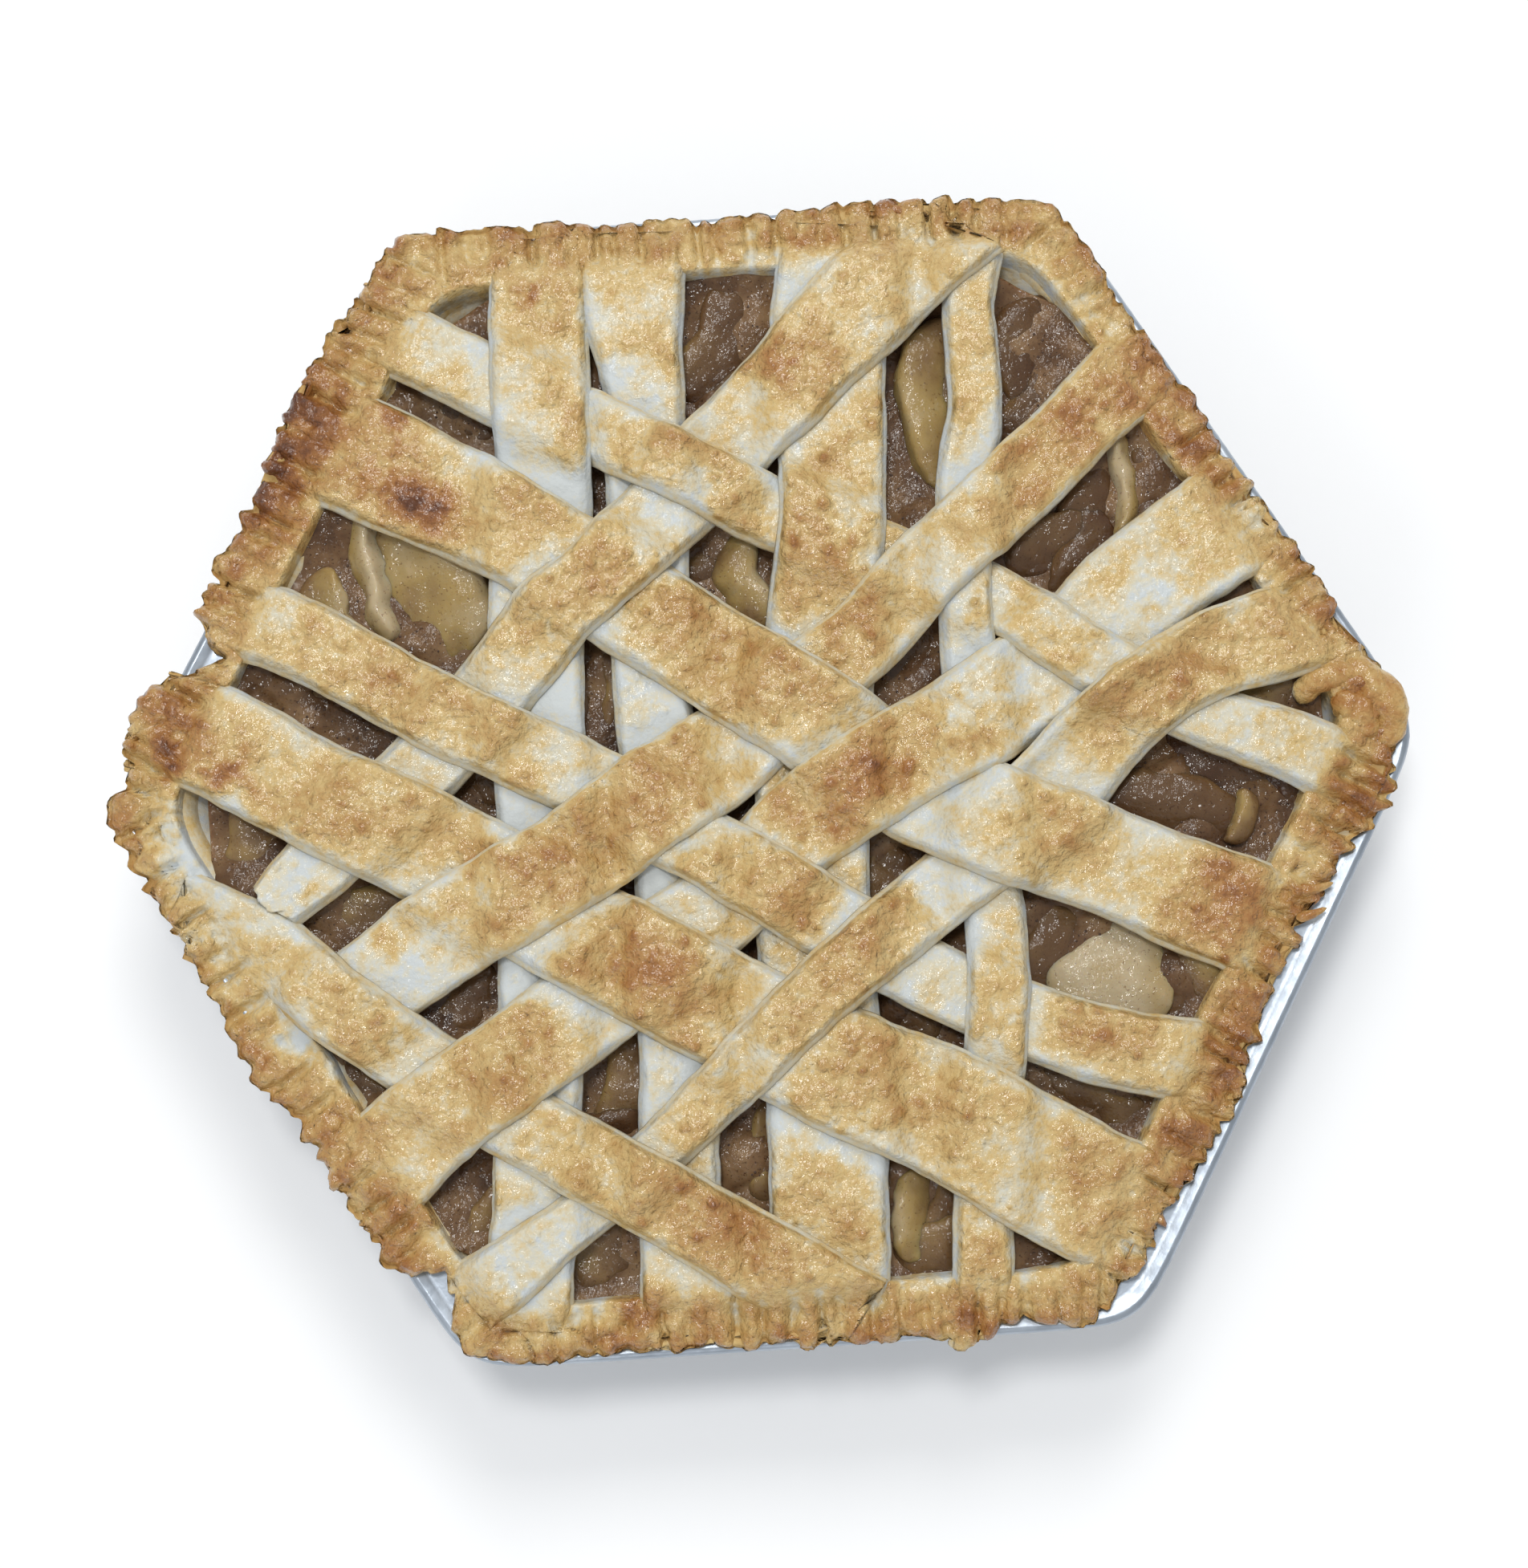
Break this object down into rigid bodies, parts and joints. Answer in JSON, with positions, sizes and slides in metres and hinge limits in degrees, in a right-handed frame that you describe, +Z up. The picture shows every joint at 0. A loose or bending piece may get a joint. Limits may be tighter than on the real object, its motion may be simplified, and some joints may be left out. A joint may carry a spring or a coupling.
{
  "type": "lattice pie in a hexagonal tin",
  "caption": "Uncut fruit pie with a loosely woven lattice of pastry strips and a crimped rim, baked in a shallow hexagonal metal tin",
  "frame": {"origin": "centre of the flat underside of the tin's base", "axes": "+Z up out of the pie; X runs through two opposite corners of the hexagon; Y runs across two opposite flat sides"},
  "size_m": [0.2917, 0.254, 0.0535],
  "materials": {
    "tin_metal": "pale drawn sheet, lightly scratched",
    "crust": "baked pastry, dry, lightly browned",
    "filling": "thick spiced fruit filling, glossy",
    "strip": "baked pastry, glazed, browned on the raised parts"
  },
  "bodies": {
    "root": {"tin": "tin_metal", "lower_crust": "crust", "filling": "filling", "strip_upright_1": "strip", "strip_upright_2": "strip", "strip_upright_3": "strip", "strip_upright_4": "strip", "strip_falling_1": "strip", "strip_falling_2": "strip", "strip_falling_3": "strip", "strip_falling_4": "strip", "strip_falling_5": "strip", "strip_rising_1": "strip", "strip_rising_2": "strip", "strip_rising_3": "strip", "strip_rising_4": "strip"}
  },
  "joints": []
}
